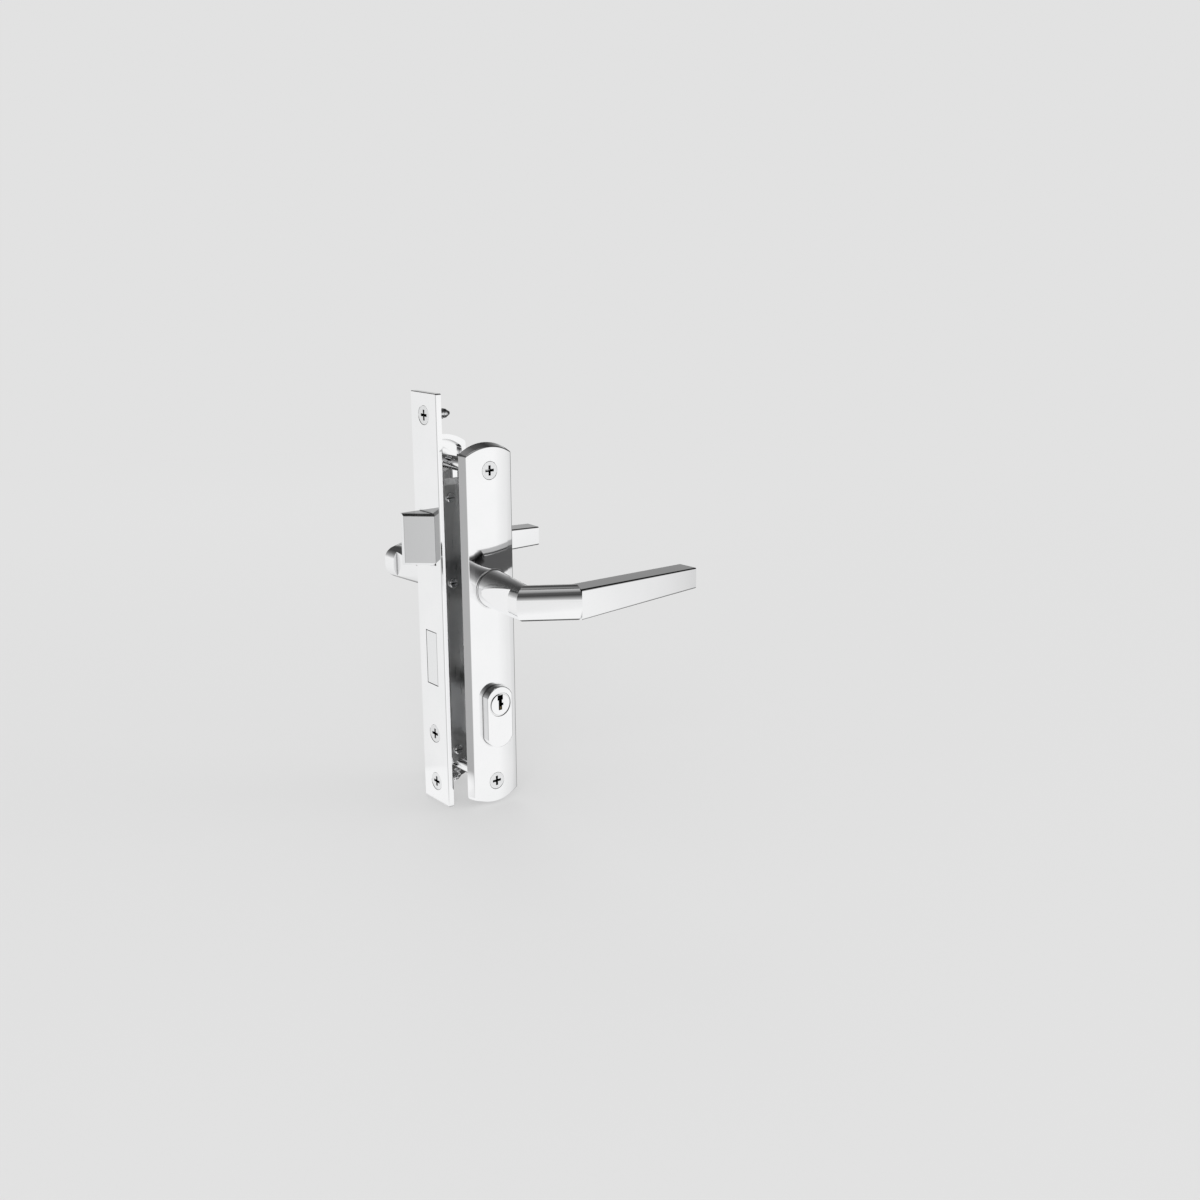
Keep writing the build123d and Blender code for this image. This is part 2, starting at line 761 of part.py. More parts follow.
with BuildPart() as inner_half:
    add(make_plate())
    with BuildSketch(at_y(-door_face - plate_pocket)):
        with Locations(*[(spindle_x, z) for z in screw_heights]):
            Circle(post_r)
    extrude(amount=-plate_pocket - post_len)
    with BuildSketch(at_y(post_len - door_face)):
        with Locations(*[(spindle_x, z) for z in screw_heights]):
            Circle(through_r + fit)
    extrude(amount=post_len - post_end, mode=Mode.SUBTRACT)
with BuildPart() as inner_plate:
    add(mirror(inner_half.part, about=Plane.XZ, mode=Mode.PRIVATE))
finish(inner_plate, "inner_plate")

screw_face = plate_front - screw_sink
through_screw = countersunk_screw(through_head_r, through_r, screw_face + through_past_middle,
                                  screw_face - door_face)
with BuildPart() as through_screws:
    with Locations(plate_front_face):
        with Locations(*[(spindle_x, z, -screw_sink) for z in screw_heights]):
            add(through_screw)
finish(through_screws, "through_screws")

# Levers: a leaning neck, a rounded first run and a sharp-edged grip that narrows to the tip,
# with a mitre at each bend
neck_root = Vector(spindle_x, -neck_start, spindle_z)
elbow = neck_root + Vector(-lever_lean, -lever_out)
mitre = elbow + Vector(first_run_x, -first_run_y)
tip = mitre + Vector(grip_x, grip_back)


def across(point, direction):
    # The plane through a point, square to a level direction, with its local Y upwards
    return Plane(origin=point, x_dir=(-direction.Y, direction.X, 0), z_dir=direction)


neck_way = (elbow - neck_root).normalized()
first_way = (mitre - elbow).normalized()
grip_way = (tip - mitre).normalized()
elbow_plane = across(elbow, (neck_way + first_way).normalized())
mitre_plane = across(mitre, (first_way + grip_way).normalized())
elbow_stretch = 1 / cos(radians(neck_way.get_angle(first_way)) / 2)
mitre_stretch = 1 / cos(radians(first_way.get_angle(grip_way)) / 2)
root_plane = Plane(origin=neck_root, x_dir=(1, 0, 0), z_dir=(0, -1, 0))


def neck_side(distance, depth):
    # A point on the forend side of the neck, this far from the hub and this deep in its surface
    share = distance / lever_out
    radius = neck_root_r + (neck_end_r - neck_root_r) * share
    return (neck_root.X - lever_lean * share - radius + depth, neck_root.Y - distance)


def make_lever():
    with BuildPart() as lever:
        with BuildSketch(root_plane):
            RectangleRounded(2 * neck_root_r, 2 * neck_root_r, neck_root_r - fit)
        with BuildSketch(elbow_plane):
            RectangleRounded(2 * neck_end_r * elbow_stretch, first_run_h, elbow_corner_r)
        loft()
        with BuildSketch(elbow_plane):
            RectangleRounded(2 * neck_end_r * elbow_stretch, first_run_h, elbow_corner_r)
        with BuildSketch(mitre_plane):
            RectangleRounded(2 * neck_end_r * mitre_stretch, first_run_h, first_run_corner_r)
        loft()
        with BuildSketch(mitre_plane):
            RectangleRounded(grip_d * mitre_stretch, grip_h, grip_corner_r)
        with BuildSketch(across(tip, grip_way)):
            RectangleRounded(grip_d, tip_h, tip_corner_r)
        loft()
        with BuildSketch(Plane.XY.offset(spindle_z - first_run_h)):
            with BuildLine():
                Polyline(neck_side(facet_start, 0), neck_side(facet_end, facet_depth),
                         neck_side(facet_end, -neck_root_r), neck_side(facet_start, -neck_root_r), close=True)
            make_face()
        extrude(amount=2 * first_run_h, mode=Mode.SUBTRACT)
        with BuildSketch(root_plane):
            Circle(journal_r)
        extrude(amount=-(neck_start - door_face - journal_inset))
        with BuildSketch(at_y(-door_face - groove_in)):
            with Locations((spindle_x, spindle_z)):
                Circle(journal_r + groove_depth)
                Circle(journal_r - groove_depth, mode=Mode.SUBTRACT)
        extrude(amount=groove_w, mode=Mode.SUBTRACT)
        with BuildSketch(at_y(-door_face)):
            with Locations((spindle_x, spindle_z)):
                Rectangle(socket, socket)
        extrude(amount=spindle_half - door_face + socket_room, mode=Mode.SUBTRACT)
        with BuildSketch(Plane.XY.offset(spindle_z)):
            with Locations((spindle_x, -neck_start - grub_out)):
                Circle(grub_r + fit)
        extrude(amount=-first_run_h, mode=Mode.SUBTRACT)
    return lever.part


def make_grub():
    with BuildPart() as grub:
        with BuildSketch(Plane.XY.offset(spindle_z - square / 2 - fit)):
            with Locations((spindle_x, -neck_start - grub_out)):
                Circle(grub_r)
        extrude(amount=-grub_len)
        with BuildSketch(Plane.XY.offset(spindle_z - square / 2 - fit - grub_len)):
            with Locations((spindle_x, -neck_start - grub_out)):
                RegularPolygon(grub_hex_r, 6)
        extrude(amount=grub_hex_depth, mode=Mode.SUBTRACT)
    return grub.part


def make_bush():
    with BuildPart() as bush:
        with BuildSketch(at_y(-door_face - plate_pocket)):
            with Locations((spindle_x, spindle_z)):
                Circle(bush_r)
                Circle(journal_r + fit, mode=Mode.SUBTRACT)
        extrude(amount=hub_front - door_face - plate_pocket - hole_gap)
    return bush.part


def make_circlip():
    with BuildPart() as circlip:
        clip_inner_r = journal_r - groove_depth + clip_gap
        with BuildSketch(at_y(-door_face - groove_in - clip_gap)):
            with Locations((spindle_x, spindle_z)):
                Circle(clip_inner_r + clip_w)
                Circle(clip_inner_r, mode=Mode.SUBTRACT)
                Rectangle(clip_mouth_w, clip_inner_r + 2 * clip_w, align=(Align.CENTER, Align.MAX),
                          mode=Mode.SUBTRACT)
        extrude(amount=clip_t)
    return circlip.part


def make_return_spring():
    # One and a half turns of wire around the hub, in the plate's hollow back
    coil = compression_spring(journal_r + plate_spring_out, plate_spring_wire,
                              plate_pocket - 2 * plate_spring_inset, plate_spring_turns)
    place = Plane(origin=(spindle_x, -door_face - plate_spring_inset, spindle_z), z_dir=(0, -1, 0))
    with BuildPart() as spring:
        add(coil.moved(Location(place)))
    return spring.part


sided_pieces = {"lever": make_lever(), "grub_screw": make_grub(), "bush": make_bush(),
                "circlip": make_circlip(), "return_spring": make_return_spring()}
for name, piece in sided_pieces.items():
    with BuildPart() as outer_piece:
        add(piece)
    finish(outer_piece, "outer_" + name)
    with BuildPart() as inner_piece:
        add(mirror(piece, about=Plane.XZ, mode=Mode.PRIVATE))
    finish(inner_piece, "inner_" + name)

with BuildPart() as spindle:
    with BuildSketch(at_y(spindle_half)):
        with Locations((spindle_x, spindle_z)):
            Rectangle(square, square)
    extrude(amount=2 * spindle_half)
    chamfer(spindle.edges().group_by(Axis.Y)[0] + spindle.edges().group_by(Axis.Y)[-1], spindle_bevel)
finish(spindle, "spindle")
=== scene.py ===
import json
import math

import bmesh
import bpy
from mathutils import Matrix, Vector


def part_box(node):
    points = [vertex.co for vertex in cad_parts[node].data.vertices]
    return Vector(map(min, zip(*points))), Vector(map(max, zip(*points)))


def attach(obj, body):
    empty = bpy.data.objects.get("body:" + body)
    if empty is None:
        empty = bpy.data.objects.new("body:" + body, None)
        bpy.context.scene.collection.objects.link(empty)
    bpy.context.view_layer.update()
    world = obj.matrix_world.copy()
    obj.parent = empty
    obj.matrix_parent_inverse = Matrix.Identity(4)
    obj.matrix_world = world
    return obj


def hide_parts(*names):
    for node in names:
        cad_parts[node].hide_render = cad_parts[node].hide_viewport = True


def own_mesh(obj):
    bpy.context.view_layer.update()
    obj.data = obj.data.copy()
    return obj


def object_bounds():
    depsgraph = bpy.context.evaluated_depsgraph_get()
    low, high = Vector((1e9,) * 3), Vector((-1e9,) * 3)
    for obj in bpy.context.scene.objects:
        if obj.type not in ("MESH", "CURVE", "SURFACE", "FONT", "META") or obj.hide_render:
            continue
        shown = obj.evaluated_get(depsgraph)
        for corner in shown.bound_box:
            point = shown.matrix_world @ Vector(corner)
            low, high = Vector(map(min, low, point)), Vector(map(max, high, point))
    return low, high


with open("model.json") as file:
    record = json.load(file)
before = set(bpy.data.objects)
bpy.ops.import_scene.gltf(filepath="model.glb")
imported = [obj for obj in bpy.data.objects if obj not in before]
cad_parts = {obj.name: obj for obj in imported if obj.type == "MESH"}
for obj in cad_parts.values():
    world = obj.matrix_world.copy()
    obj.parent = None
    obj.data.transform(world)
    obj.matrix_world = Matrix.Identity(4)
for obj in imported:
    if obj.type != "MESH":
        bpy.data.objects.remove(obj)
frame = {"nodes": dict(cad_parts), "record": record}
cad_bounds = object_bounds()
MM = 0.001

# From the frame: the solids by name, a point on the spindle's axis and each solid's material slot
NODES = frame["nodes"]
JOINTS = {joint["name"]: joint for joint in frame["record"]["behaviour"]["joints"]}
SPINDLE = Vector(JOINTS["lever_turn"]["pos_m"])
SLOT_OF = {part["node"]: part["material_slot"] for part in frame["record"]["subparts"]}

# The outer lever's bends seen from above, in millimetres, as in the CAD model: the neck ends at
# the elbow, the first run at the mitre and the grip at the tip
NECK_ROOT = Vector((18.0, -24.45))
ELBOW = NECK_ROOT + Vector((-4.6, -31.5))
MITRE = ELBOW + Vector((20.3, -13.4))
TIP = MITRE + Vector((73.75, 4.25))

# Its sections, in millimetres: half the depth and half the height of the first run and of the
# grip, with the radius of their corners at the elbow and at the mitre
RUN_HALF_D = 6.2
RUN_HALF_H = 8.4
ELBOW_CORNER_R = 7.0
GRIP_HALF = (6.0, 7.35)
GRIP_CORNER_R = 1.1
# At the mitre the first run is a superellipse with this exponent
RUN_FULLNESS = 2.25
RUN_STEPS = 12
# A vertex this near to a bend's plane, in millimetres, is on it
ON_PLANE = 0.01

# The screws, as in the CAD model, and their threads. The fixing screws' threads start behind the
# forend and end before the point.
FIXING_R = 2.2 * MM
FIXING_HEAD_R = 4.45 * MM
FIXING_RIDGE = 0.35 * MM
FIXING_PITCH = 1.3 * MM
FIXING_THREAD_START = 0.8 * MM
FIXING_POINT = 3.2 * MM
THROUGH_R = 2.0 * MM
THROUGH_HEAD_R = 4.25 * MM
THROUGH_RIDGE = 0.25 * MM
THROUGH_PITCH = 0.8 * MM
THROUGH_THREAD_START = -16.5 * MM
THROUGH_THREAD_LEN = 13.5 * MM
# The ridge's foot is sunk in the shank and is a little narrower than the pitch
RIDGE_SINK = 0.08 * MM
RIDGE_LEAST = 0.01 * MM
RIDGE_HALF_FOOT = 0.42
RIDGE_LEAST_FOOT = 0.2

# The photograph's camera, solved from the edges of the forend and the plate
IMAGE_PX = 1200
FOCAL_PX = 1350.0
SENSOR_MM = 36.0
CAMERA_AT = Vector((-0.34005, -0.5470, 0.17155))
CAMERA_YAW = 39.06
CAMERA_PITCH = 14.89
CAMERA_ROLL = -0.15

# What the metal sees of the studio, by compass direction and by height: white panels in front of
# the plate and of the forend, with darker flags between them, and a dark ceiling. Each pair is a
# place and a level. Round the studio 0.5 is the +X direction, 0.25 is -Y, 0.75 is +Y, and 0 and 1
# are -X. Up the studio 0 is the horizon and 1 is overhead.
ROUND_THE_STUDIO = ((0.0, 0.03), (0.02, 0.05), (0.05, 0.62), (0.10, 0.90), (0.19, 1.0),
                    (0.355, 1.0), (0.385, 0.84), (0.425, 0.05), (0.54, 0.05), (0.66, 0.78),
                    (0.80, 0.98), (0.87, 0.95), (0.92, 0.45), (0.965, 0.42), (0.98, 0.03),
                    (1.0, 0.03))
UP_THE_STUDIO = ((0.0, 1.0), (0.08, 0.78), (0.20, 0.44), (0.27, 0.36), (0.40, 0.18),
                 (0.55, 0.06), (0.80, 0.10), (1.0, 0.5))
# The floor, as the metal sees it, is painted with a dark patch behind the object: painted shade
# which shows where the plate mirrors the back of the lever
ROUND_THE_FLOOR = ((0.0, 0.40), (0.06, 0.45), (0.12, 0.70), (0.19, 0.90), (0.22, 1.0),
                   (0.355, 1.0), (0.385, 0.84), (0.425, 0.05), (0.56, 0.03), (0.68, 0.03),
                   (0.73, 0.80), (0.87, 0.95), (0.92, 0.42), (1.0, 0.40))
# A painted white spot on it in front of the forend, seen only in reflections, and the distances
# at which it starts and ends to fade
PAINTED_WHITE_SPOT = (-0.012, 0.015, 0.0)
SPOT_FADES = (0.026, 0.030)

# The colour of floor and backdrop for the camera, the level of the world's light, and the floor's
# own colour where it is lit
PALE = 0.76
SOFT_LIGHT = 0.75
FLOOR_LIT = 0.72
FLOOR_WIDTH = 60.0
# How much of what the camera sees of the floor is PALE and not lit, near the object and far from
# it, with the distances, and the same share in what the metal sees
NEAR, PALE_SHARE_NEAR = 0.15, 0.6
FAR, PALE_SHARE_FAR = 1.2, 1.0
OWN_SHARE_REFLECTED = 0.9

# Each lamp's name, place, size and power
LAMP_TARGET = (0.03, 0.0, 0.0)
LAMPS = (("key", (-0.9, -1.2, 0.9), (0.9, 0.9), 9.0),
         ("fill", (1.3, -1.0, 0.5), (0.8, 1.1), 5.0),
         ("back", (0.6, 1.4, 0.8), (1.0, 0.8), 6.0))

# How many rays look for a corner, and how open a place is where the painted corner shade is
# darkest and where it ends
CORNER_RAYS = 8
CLOSED = 0.25
OPEN = 0.8


def link_object(name, data):
    item = bpy.data.objects.new(name, data)
    bpy.context.scene.collection.objects.link(item)
    return item


def make_camera():
    data = bpy.data.cameras.new("camera")
    data.sensor_width = SENSOR_MM
    data.sensor_height = SENSOR_MM
    data.sensor_fit = "HORIZONTAL"
    data.lens = FOCAL_PX / IMAGE_PX * SENSOR_MM
    data.clip_start = 0.01
    camera = link_object("camera", data)
    yaw = Matrix.Rotation(math.radians(-CAMERA_YAW), 4, "Z")
    pitch = Matrix.Rotation(math.radians(90 - CAMERA_PITCH), 4, "X")
    roll = Matrix.Rotation(math.radians(CAMERA_ROLL), 4, "Z")
    camera.matrix_world = Matrix.Translation(CAMERA_AT) @ yaw @ pitch @ roll
    bpy.context.scene.camera = camera


def new_material(name, color, metallic, roughness):
    # A Principled material with its uniform values on the shader's own sockets
    mat = bpy.data.materials.new(name)
    mat.use_nodes = True
    shader = mat.node_tree.nodes["Principled BSDF"]
    shader.inputs["Base Color"].default_value = (*color, 1.0)
    shader.inputs["Metallic"].default_value = metallic
    shader.inputs["Roughness"].default_value = roughness
    return mat, shader


def coords(mat, stretch=(1.0, 1.0, 1.0)):
    # Object coordinates, in metres, stretched to give a grain its direction
    tree = mat.node_tree
    source = tree.nodes.new("ShaderNodeTexCoord")
    mapping = tree.nodes.new("ShaderNodeMapping")
    mapping.inputs["Scale"].default_value = stretch
    tree.links.new(source.outputs["Object"], mapping.inputs["Vector"])
    return mapping.outputs["Vector"]


def noise(mat, vector, scale, detail=3.0, rough=0.5):
    node = mat.node_tree.nodes.new("ShaderNodeTexNoise")
    node.inputs["Scale"].default_value = scale
    node.inputs["Detail"].default_value = detail
    node.inputs["Roughness"].default_value = rough
    mat.node_tree.links.new(vector, node.inputs["Vector"])
    return node.outputs["Fac"]


def spread(mat, value, low, high, from_low=0.3, from_high=0.7):
    node = mat.node_tree.nodes.new("ShaderNodeMapRange")
    node.inputs["From Min"].default_value = from_low
    node.inputs["From Max"].default_value = from_high
    node.inputs["To Min"].default_value = low
    node.inputs["To Max"].default_value = high
    mat.node_tree.links.new(value, node.inputs["Value"])
    return node.outputs["Result"]


def tint(mat, value, dark, light, from_low=0.3, from_high=0.7):
    ramp = mat.node_tree.nodes.new("ShaderNodeValToRGB")
    low, high = ramp.color_ramp.elements
    low.position = from_low
    low.color = (*dark, 1.0)
    high.position = from_high
    high.color = (*light, 1.0)
    mat.node_tree.links.new(value, ramp.inputs["Fac"])
    return ramp.outputs["Color"]


def times(tree, first, second):
    node = tree.nodes.new("ShaderNodeMix")
    node.data_type = "RGBA"
    node.blend_type = "MULTIPLY"
    node.inputs["Factor"].default_value = 1.0
    tree.links.new(first, node.inputs[6])
    tree.links.new(second, node.inputs[7])
    return node.outputs[2]


def bump(mat, shader, value, distance, strength):
    node = mat.node_tree.nodes.new("ShaderNodeBump")
    node.inputs["Strength"].default_value = strength
    node.inputs["Distance"].default_value = distance
    mat.node_tree.links.new(value, node.inputs["Height"])
    mat.node_tree.links.new(node.outputs["Normal"], shader.inputs["Normal"])


def vary_roughness(mat, shader, value, low, high):
    mat.node_tree.links.new(spread(mat, value, low, high), shader.inputs["Roughness"])


def vary_color(mat, shader, value, dark, light):
    mat.node_tree.links.new(tint(mat, value, dark, light), shader.inputs["Base Color"])


def shade_corners(mat, shader, color, reach, darkest):
    # Painted shade: narrow gaps, recesses and inner corners of the plated metal are darkened in
    # the base colour by ambient occlusion
    tree = mat.node_tree
    corners = tree.nodes.new("ShaderNodeAmbientOcclusion")
    corners.samples = CORNER_RAYS
    corners.inputs["Distance"].default_value = reach
    level = spread(mat, corners.outputs["AO"], darkest, 1.0, from_low=CLOSED, from_high=OPEN)
    tree.links.new(times(tree, color, level), shader.inputs["Base Color"])


def polished_chrome():
    mat, shader = new_material("polished_chrome", (0.93, 0.935, 0.94), 1.0, 0.05)
    where = coords(mat)
    smudge = noise(mat, where, scale=55.0, detail=4.0, rough=0.6)
    vary_roughness(mat, shader, smudge, 0.03, 0.075)
    plating = tint(mat, smudge, dark=(0.915, 0.92, 0.925), light=(0.945, 0.945, 0.95))
    shade_corners(mat, shader, plating, reach=0.002, darkest=0.25)
    bump(mat, shader, noise(mat, where, scale=90.0, detail=2.0), distance=0.00002, strength=0.25)
    return mat


def bolt_chrome():
    mat, shader = new_material("bolt_chrome", (0.85, 0.855, 0.86), 1.0, 0.1)
    grain = noise(mat, coords(mat, (1.0, 1.0, 40.0)), scale=300.0)
    vary_roughness(mat, shader, grain, 0.06, 0.14)
    plating = tint(mat, grain, dark=(0.84, 0.845, 0.85), light=(0.88, 0.885, 0.89))
    shade_corners(mat, shader, plating, reach=0.0015, darkest=0.15)
    bump(mat, shader, grain, distance=0.00002, strength=0.2)
    return mat


def screw_chrome():
    mat, shader = new_material("screw_chrome", (0.80, 0.805, 0.81), 1.0, 0.14)
    turned = noise(mat, coords(mat), scale=900.0)
    vary_roughness(mat, shader, turned, 0.10, 0.22)
    plating = tint(mat, turned, dark=(0.76, 0.765, 0.77), light=(0.84, 0.845, 0.85))
    shade_corners(mat, shader, plating, reach=0.0025, darkest=0.04)
    bump(mat, shader, turned, distance=0.00002, strength=0.3)
    return mat


def case_steel():
    mat, shader = new_material("case_steel", (0.62, 0.63, 0.64), 1.0, 0.35)
    grain = noise(mat, coords(mat, (1.0, 1.0, 0.04)), scale=900.0, detail=4.0)
    cloud = noise(mat, coords(mat), scale=60.0, detail=5.0, rough=0.6)
    vary_color(mat, shader, cloud, dark=(0.66, 0.67, 0.68), light=(0.80, 0.80, 0.79))
    vary_roughness(mat, shader, grain, 0.26, 0.44)
    bump(mat, shader, grain, distance=0.00004, strength=0.35)
    return mat


def inner_steel():
    mat, shader = new_material("inner_steel", (0.52, 0.53, 0.54), 1.0, 0.42)
    speck = noise(mat, coords(mat), scale=1600.0, detail=2.0)
    vary_color(mat, shader, speck, dark=(0.42, 0.43, 0.44), light=(0.58, 0.59, 0.60))
    bump(mat, shader, speck, distance=0.00005, strength=0.4)
    return mat


def spring_steel():
    mat, shader = new_material("spring_steel", (0.40, 0.41, 0.43), 1.0, 0.25)
    vary_roughness(mat, shader, noise(mat, coords(mat), scale=700.0), 0.18, 0.36)
    return mat


def pin_brass():
    mat, shader = new_material("pin_brass", (0.80, 0.62, 0.29), 1.0, 0.2)
    turned = noise(mat, coords(mat, (1.0, 1.0, 12.0)), scale=500.0, detail=2.0)
    vary_roughness(mat, shader, turned, 0.14, 0.28)
    return mat


def bush_plastic():
    mat, shader = new_material("bush_plastic", (0.80, 0.80, 0.77), 0.0, 0.45)
    shader.inputs["Subsurface Weight"].default_value = 0.15
    shader.inputs["Subsurface Scale"].default_value = 0.002
    matt = noise(mat, coords(mat), scale=1200.0)
    vary_roughness(mat, shader, matt, 0.38, 0.52)
    bump(mat, shader, matt, distance=0.00003, strength=0.3)
    return mat


MATERIALS = {make.__name__: make()
             for make in (polished_chrome, bolt_chrome, screw_chrome, case_steel, inner_steel,
                          spring_steel, pin_brass, bush_plastic)}


def dress_nodes():
    for name, node in NODES.items():
        node.data.materials.clear()
        node.data.materials.append(MATERIALS[SLOT_OF[name]])


# Threads, which the CAD screws leave out: a helical ridge laid on the shank
def thread_ridge(name, start, direction, shank_r, height, pitch, length, per_turn=28):
    start = Vector(start)
    turn = Vector((0, 0, 1)).rotation_difference(Vector(direction)).to_matrix()
    steps = int(length / pitch * per_turn)
    foot_r = shank_r - RIDGE_SINK
    mesh = bmesh.new()
    rings = []
    for step in range(steps + 1):
        angle = 2 * math.pi * step / per_turn
        along = length * step / steps
        # The ridge rises from nothing over its first turn and sinks away over its last
        rise = min(1.0, step / per_turn, (steps - step) / per_turn)
        half_foot = RIDGE_HALF_FOOT * pitch * max(rise, RIDGE_LEAST_FOOT)
        crest_r = shank_r + max(height * rise, RIDGE_LEAST)
        profile = ((foot_r, -half_foot), (crest_r, 0.0), (foot_r, half_foot))
        rings.append([mesh.verts.new(start + turn @ Vector((radius * math.cos(angle),
                                                            radius * math.sin(angle),
                                                            along + offset)))
                      for radius, offset in profile])
    for here, there in zip(rings, rings[1:]):
        join_rings(mesh, here, there)
    mesh.faces.new(rings[0][::-1])
    mesh.faces.new(rings[-1])
    bmesh.ops.recalc_face_normals(mesh, faces=mesh.faces)
    data = bpy.data.meshes.new(name)
    mesh.to_mesh(data)
    mesh.free()
    data.materials.append(MATERIALS["screw_chrome"])
    piece = link_object(name, data)
    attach(piece, "lock_case")


def join_rings(mesh, here, there):
    return [mesh.faces.new((here[i - 1], here[i], there[i], there[i - 1]))
            for i in range(len(here))]


def make_threads():
    low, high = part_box("forend_screws")
    length = high[0] - FIXING_POINT
    for name, z in (("upper", high[2]), ("lower", low[2])):
        centre = z - math.copysign(FIXING_HEAD_R, z)
        thread_ridge("fixing_thread_" + name, (FIXING_THREAD_START, 0, centre), (1, 0, 0),
                     FIXING_R, FIXING_RIDGE, FIXING_PITCH, length)
    low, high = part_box("through_screws")
    for name, z in (("upper", high[2] - THROUGH_HEAD_R), ("lower", low[2] + THROUGH_HEAD_R)):
        thread_ridge("through_thread_" + name, (SPINDLE.x, THROUGH_THREAD_START, z), (0, 1, 0),
                     THROUGH_R, THROUGH_RIDGE, THROUGH_PITCH, THROUGH_THREAD_LEN)


# Levers: the CAD piece with its first run rounded all over, up to the sharp mitre of the grip
def rounded_outline(half_w, half_h, corner_r, per_corner=22, per_side=6):
    # Points round a rectangle with round corners
    centres = [Vector((u * (half_w - corner_r), v * (half_h - corner_r)))
               for u, v in ((1, 1), (-1, 1), (-1, -1), (1, -1))]
    points = []
    for quarter, centre in enumerate(centres):
        for i in range(per_corner + 1):
            angle = math.pi / 2 * (quarter + i / per_corner)
            spoke = corner_r * Vector((math.cos(angle), math.sin(angle)))
            points.append(centre + spoke)
        start = points[-1]
        end = centres[(quarter + 1) % 4] + spoke
        points += [start.lerp(end, i / per_side) for i in range(1, per_side)]
    return points


def full_outline(points, from_half, to_half, fullness):
    # The same points moved out to a superellipse
    moved = []
    for point in points:
        angle = math.atan2(point.y / from_half[1], point.x / from_half[0])
        c, s = math.cos(angle), math.sin(angle)
        moved.append(Vector((to_half[0] * math.copysign(abs(c) ** (2 / fullness), c),
                             to_half[1] * math.copysign(abs(s) ** (2 / fullness), s))))
    return moved


def rounded_lever(node, side):
    # side is 1 for the outer lever and -1 for the inner one, its mirror image
    neck_way = (ELBOW - NECK_ROOT).normalized()
    run_way = (MITRE - ELBOW).normalized()
    grip_way = (TIP - MITRE).normalized()
    elbow_way = (neck_way + run_way).normalized()
    mitre_way = (run_way + grip_way).normalized()

    def place(point, at, way):
        # A point of a section that is square to way
        level = at + Vector((-way.y, way.x)) * point.x
        return Vector((level.x * MM, side * level.y * MM, SPINDLE.z + point.y * MM))

    def beyond(vertex, at, way):
        # How far a vertex is past the section, in millimetres
        return ((vertex.co.x / MM - at.x) * way.x + (side * vertex.co.y / MM - at.y) * way.y)

    source = NODES[node]
    mesh = bmesh.new()
    mesh.from_mesh(source.data)
    first_run = [face for face in mesh.faces
                 if all(beyond(v, ELBOW, elbow_way) > -ON_PLANE
                        and beyond(v, MITRE, mitre_way) < ON_PLANE for v in face.verts)]
    bmesh.ops.delete(mesh, geom=first_run, context="FACES")
    elbow_half = (RUN_HALF_D / neck_way.dot(elbow_way), RUN_HALF_H)
    mitre_half = (RUN_HALF_D / run_way.dot(mitre_way), RUN_HALF_H)
    grip_half = (GRIP_HALF[0] / grip_way.dot(mitre_way), GRIP_HALF[1])
    outline = rounded_outline(*elbow_half, ELBOW_CORNER_R)
    start = [place(p, ELBOW, elbow_way) for p in outline]
    end = [place(p, MITRE, mitre_way)
           for p in full_outline(outline, elbow_half, mitre_half, RUN_FULLNESS)]
    rings = [[mesh.verts.new(a.lerp(b, k / RUN_STEPS)) for a, b in zip(start, end)]
             for k in range(RUN_STEPS + 1)]
    for here, there in zip(rings, rings[1:]):
        for face in join_rings(mesh, here, there):
            face.smooth = True
    # The two faces of the mitre, one wider than the other
    mesh.faces.new([mesh.verts.new(v.co) for v in rings[-1]])
    mesh.faces.new([mesh.verts.new(place(p, MITRE, mitre_way))
                    for p in rounded_outline(*grip_half, GRIP_CORNER_R, per_corner=6, per_side=2)])
    bmesh.ops.recalc_face_normals(mesh, faces=mesh.faces)
    data = bpy.data.meshes.new(node + "_cast")
    mesh.to_mesh(data)
    mesh.free()
    data.materials.append(MATERIALS["polished_chrome"])
    piece = link_object(node + "_cast", data)
    piece.matrix_world = source.matrix_world.copy()
    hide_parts(node)
    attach(piece, "lever_set")


# Springs that are pressed together as the lever turns; here each is only copied into a piece with
# a mesh of its own, in place of the CAD spring
def pressed_spring(node):
    source = NODES[node]
    piece = link_object(node + "_coil", source.data.copy())
    piece.matrix_world = source.matrix_world.copy()
    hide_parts(node)
    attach(piece, "lock_case")
    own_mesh(piece)


def make_springs():
    pressed_spring("latch_spring")
    pressed_spring("follower_spring")


# Stage: a pale floor that the object stands on, and a plain studio round it
def grey(level):
    return (level, level, level, 1.0)


def maths(tree, operation, first, second):
    node = tree.nodes.new("ShaderNodeMath")
    node.operation = operation
    tree.links.new(first, node.inputs[0])
    tree.links.new(second, node.inputs[1])
    return node.outputs[0]


def mix_shaders(tree, share, first, second):
    node = tree.nodes.new("ShaderNodeMixShader")
    tree.links.new(share, node.inputs["Fac"])
    tree.links.new(first, node.inputs[1])
    tree.links.new(second, node.inputs[2])
    return node.outputs[0]


def grey_ramp(tree, value, stops):
    ramp = tree.nodes.new("ShaderNodeValToRGB")
    elements = ramp.color_ramp.elements
    while len(elements) < len(stops):
        elements.new(0.5)
    for element, (place, level) in zip(elements, stops):
        element.position = place
        element.color = grey(level)
    tree.links.new(value, ramp.inputs["Fac"])
    return ramp.outputs["Color"]


def levels_round(tree, vector, stops):
    # Levels by compass direction
    turn = tree.nodes.new("ShaderNodeTexGradient")
    turn.gradient_type = "RADIAL"
    tree.links.new(vector, turn.inputs["Vector"])
    return grey_ramp(tree, turn.outputs["Fac"], stops)


def is_camera_ray(tree):
    return tree.nodes.new("ShaderNodeLightPath").outputs["Is Camera Ray"]


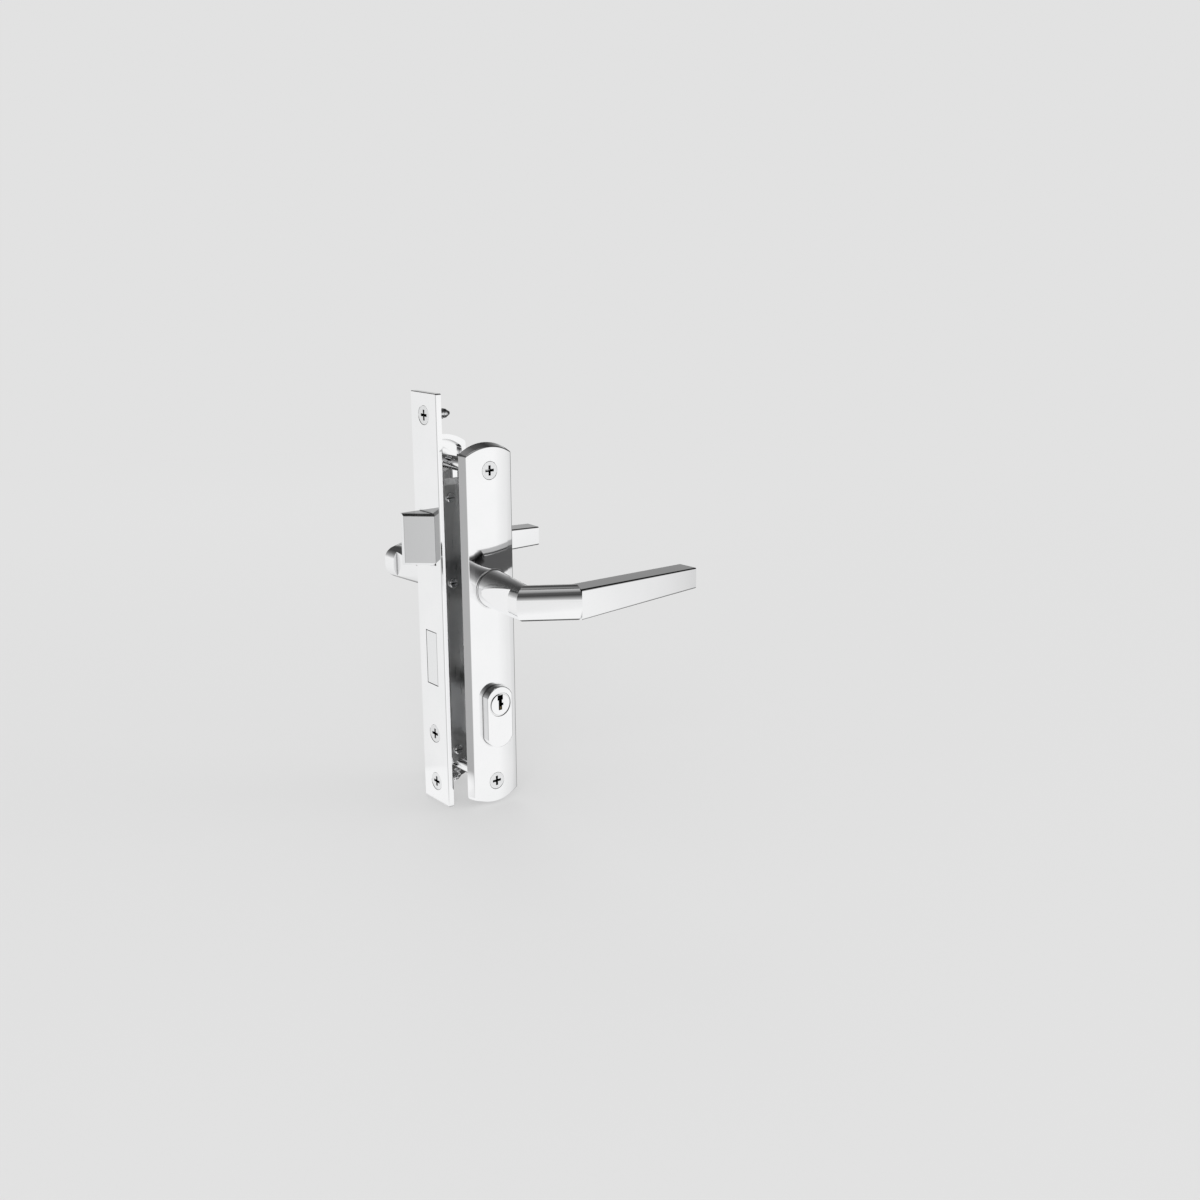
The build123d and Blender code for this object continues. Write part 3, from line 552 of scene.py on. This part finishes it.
def seen_or_reflected(tree):
    # 1 for rays from the camera and for rays that left metal or glass
    path = tree.nodes.new("ShaderNodeLightPath")
    first = maths(tree, "MAXIMUM", path.outputs["Is Camera Ray"], path.outputs["Is Glossy Ray"])
    return maths(tree, "MAXIMUM", first, path.outputs["Is Transmission Ray"])


def make_world():
    # Pale grey for the camera. The metal sees the studio, and other rays a soft even light.
    world = bpy.data.worlds.new("studio")
    bpy.context.scene.world = world
    world.use_nodes = True
    tree = world.node_tree
    tree.nodes.clear()
    out = tree.nodes.new("ShaderNodeOutputWorld")
    soft = tree.nodes.new("ShaderNodeBackground")
    soft.inputs["Color"].default_value = grey(1.0)
    soft.inputs["Strength"].default_value = SOFT_LIGHT
    plain = tree.nodes.new("ShaderNodeBackground")
    plain.inputs["Color"].default_value = grey(PALE)
    reflected = tree.nodes.new("ShaderNodeBackground")
    where = tree.nodes.new("ShaderNodeTexCoord").outputs["Generated"]
    split = tree.nodes.new("ShaderNodeSeparateXYZ")
    tree.links.new(where, split.inputs["Vector"])
    levels = times(tree, levels_round(tree, where, ROUND_THE_STUDIO),
                   grey_ramp(tree, split.outputs["Z"], UP_THE_STUDIO))
    tree.links.new(levels, reflected.inputs["Color"])
    shown = mix_shaders(tree, is_camera_ray(tree), reflected.outputs[0], plain.outputs[0])
    mixed = mix_shaders(tree, seen_or_reflected(tree), soft.outputs[0], shown)
    tree.links.new(mixed, out.inputs["Surface"])


def floor_levels(tree, where):
    # What the metal sees of the floor, with its painted dark patch. The lower end of the forend
    # mirrors the painted white spot, a painted highlight.
    from_spot = tree.nodes.new("ShaderNodeVectorMath")
    from_spot.operation = "DISTANCE"
    from_spot.inputs[1].default_value = PAINTED_WHITE_SPOT
    tree.links.new(where, from_spot.inputs[0])
    fade_start, fade_end = SPOT_FADES
    outside = grey_ramp(tree, from_spot.outputs["Value"], ((fade_start, 0.0), (fade_end, 1.0)))
    mix = tree.nodes.new("ShaderNodeMix")
    mix.data_type = "RGBA"
    mix.inputs[6].default_value = grey(1.0)
    tree.links.new(outside, mix.inputs["Factor"])
    tree.links.new(levels_round(tree, where, ROUND_THE_FLOOR), mix.inputs[7])
    return mix.outputs[2]


def own_share(tree, where):
    # How much of what is seen of the floor is its own colour and not lit. Away from the object
    # the camera sees that colour alone, so that it meets the backdrop unseen.
    length = tree.nodes.new("ShaderNodeVectorMath")
    length.operation = "LENGTH"
    tree.links.new(where, length.inputs[0])
    for_camera = tree.nodes.new("ShaderNodeMapRange")
    for_camera.interpolation_type = "SMOOTHSTEP"
    for_camera.inputs["From Min"].default_value = NEAR
    for_camera.inputs["From Max"].default_value = FAR
    for_camera.inputs["To Min"].default_value = PALE_SHARE_NEAR
    for_camera.inputs["To Max"].default_value = PALE_SHARE_FAR
    tree.links.new(length.outputs["Value"], for_camera.inputs["Value"])
    share = tree.nodes.new("ShaderNodeMix")
    share.data_type = "FLOAT"
    share.inputs[2].default_value = OWN_SHARE_REFLECTED
    tree.links.new(for_camera.outputs["Result"], share.inputs[3])
    tree.links.new(is_camera_ray(tree), share.inputs["Factor"])
    return maths(tree, "MULTIPLY", share.outputs[0], seen_or_reflected(tree))


def make_floor():
    bpy.ops.mesh.primitive_plane_add(size=FLOOR_WIDTH, location=(0, 0, cad_bounds[0][2]))
    floor = bpy.context.object
    floor.name = "floor"
    mat = bpy.data.materials.new("floor_paper")
    mat.use_nodes = True
    tree = mat.node_tree
    tree.nodes.clear()
    out = tree.nodes.new("ShaderNodeOutputMaterial")
    lit = tree.nodes.new("ShaderNodeBsdfDiffuse")
    lit.inputs["Color"].default_value = grey(FLOOR_LIT)
    plain = tree.nodes.new("ShaderNodeEmission")
    plain.inputs["Color"].default_value = grey(PALE)
    reflected = tree.nodes.new("ShaderNodeEmission")
    where = tree.nodes.new("ShaderNodeTexCoord").outputs["Object"]
    tree.links.new(floor_levels(tree, where), reflected.inputs["Color"])
    own = mix_shaders(tree, is_camera_ray(tree), reflected.outputs[0], plain.outputs[0])
    mixed = mix_shaders(tree, own_share(tree, where), lit.outputs[0], own)
    tree.links.new(mixed, out.inputs["Surface"])
    floor.data.materials.append(mat)


def make_lights():
    for name, at, size, power in LAMPS:
        data = bpy.data.lights.new(name, "AREA")
        data.shape = "RECTANGLE"
        data.size, data.size_y = size
        data.energy = power
        lamp = link_object(name, data)
        lamp.location = at
        lamp.visible_glossy = False
        way = Vector(LAMP_TARGET) - Vector(at)
        lamp.rotation_euler = way.to_track_quat("-Z", "Y").to_euler()


make_camera()
make_world()
make_floor()
make_lights()
dress_nodes()
make_threads()
make_springs()
rounded_lever("outer_lever", 1)
rounded_lever("inner_lever", -1)

bpy.context.scene.view_settings.view_transform = "Standard"
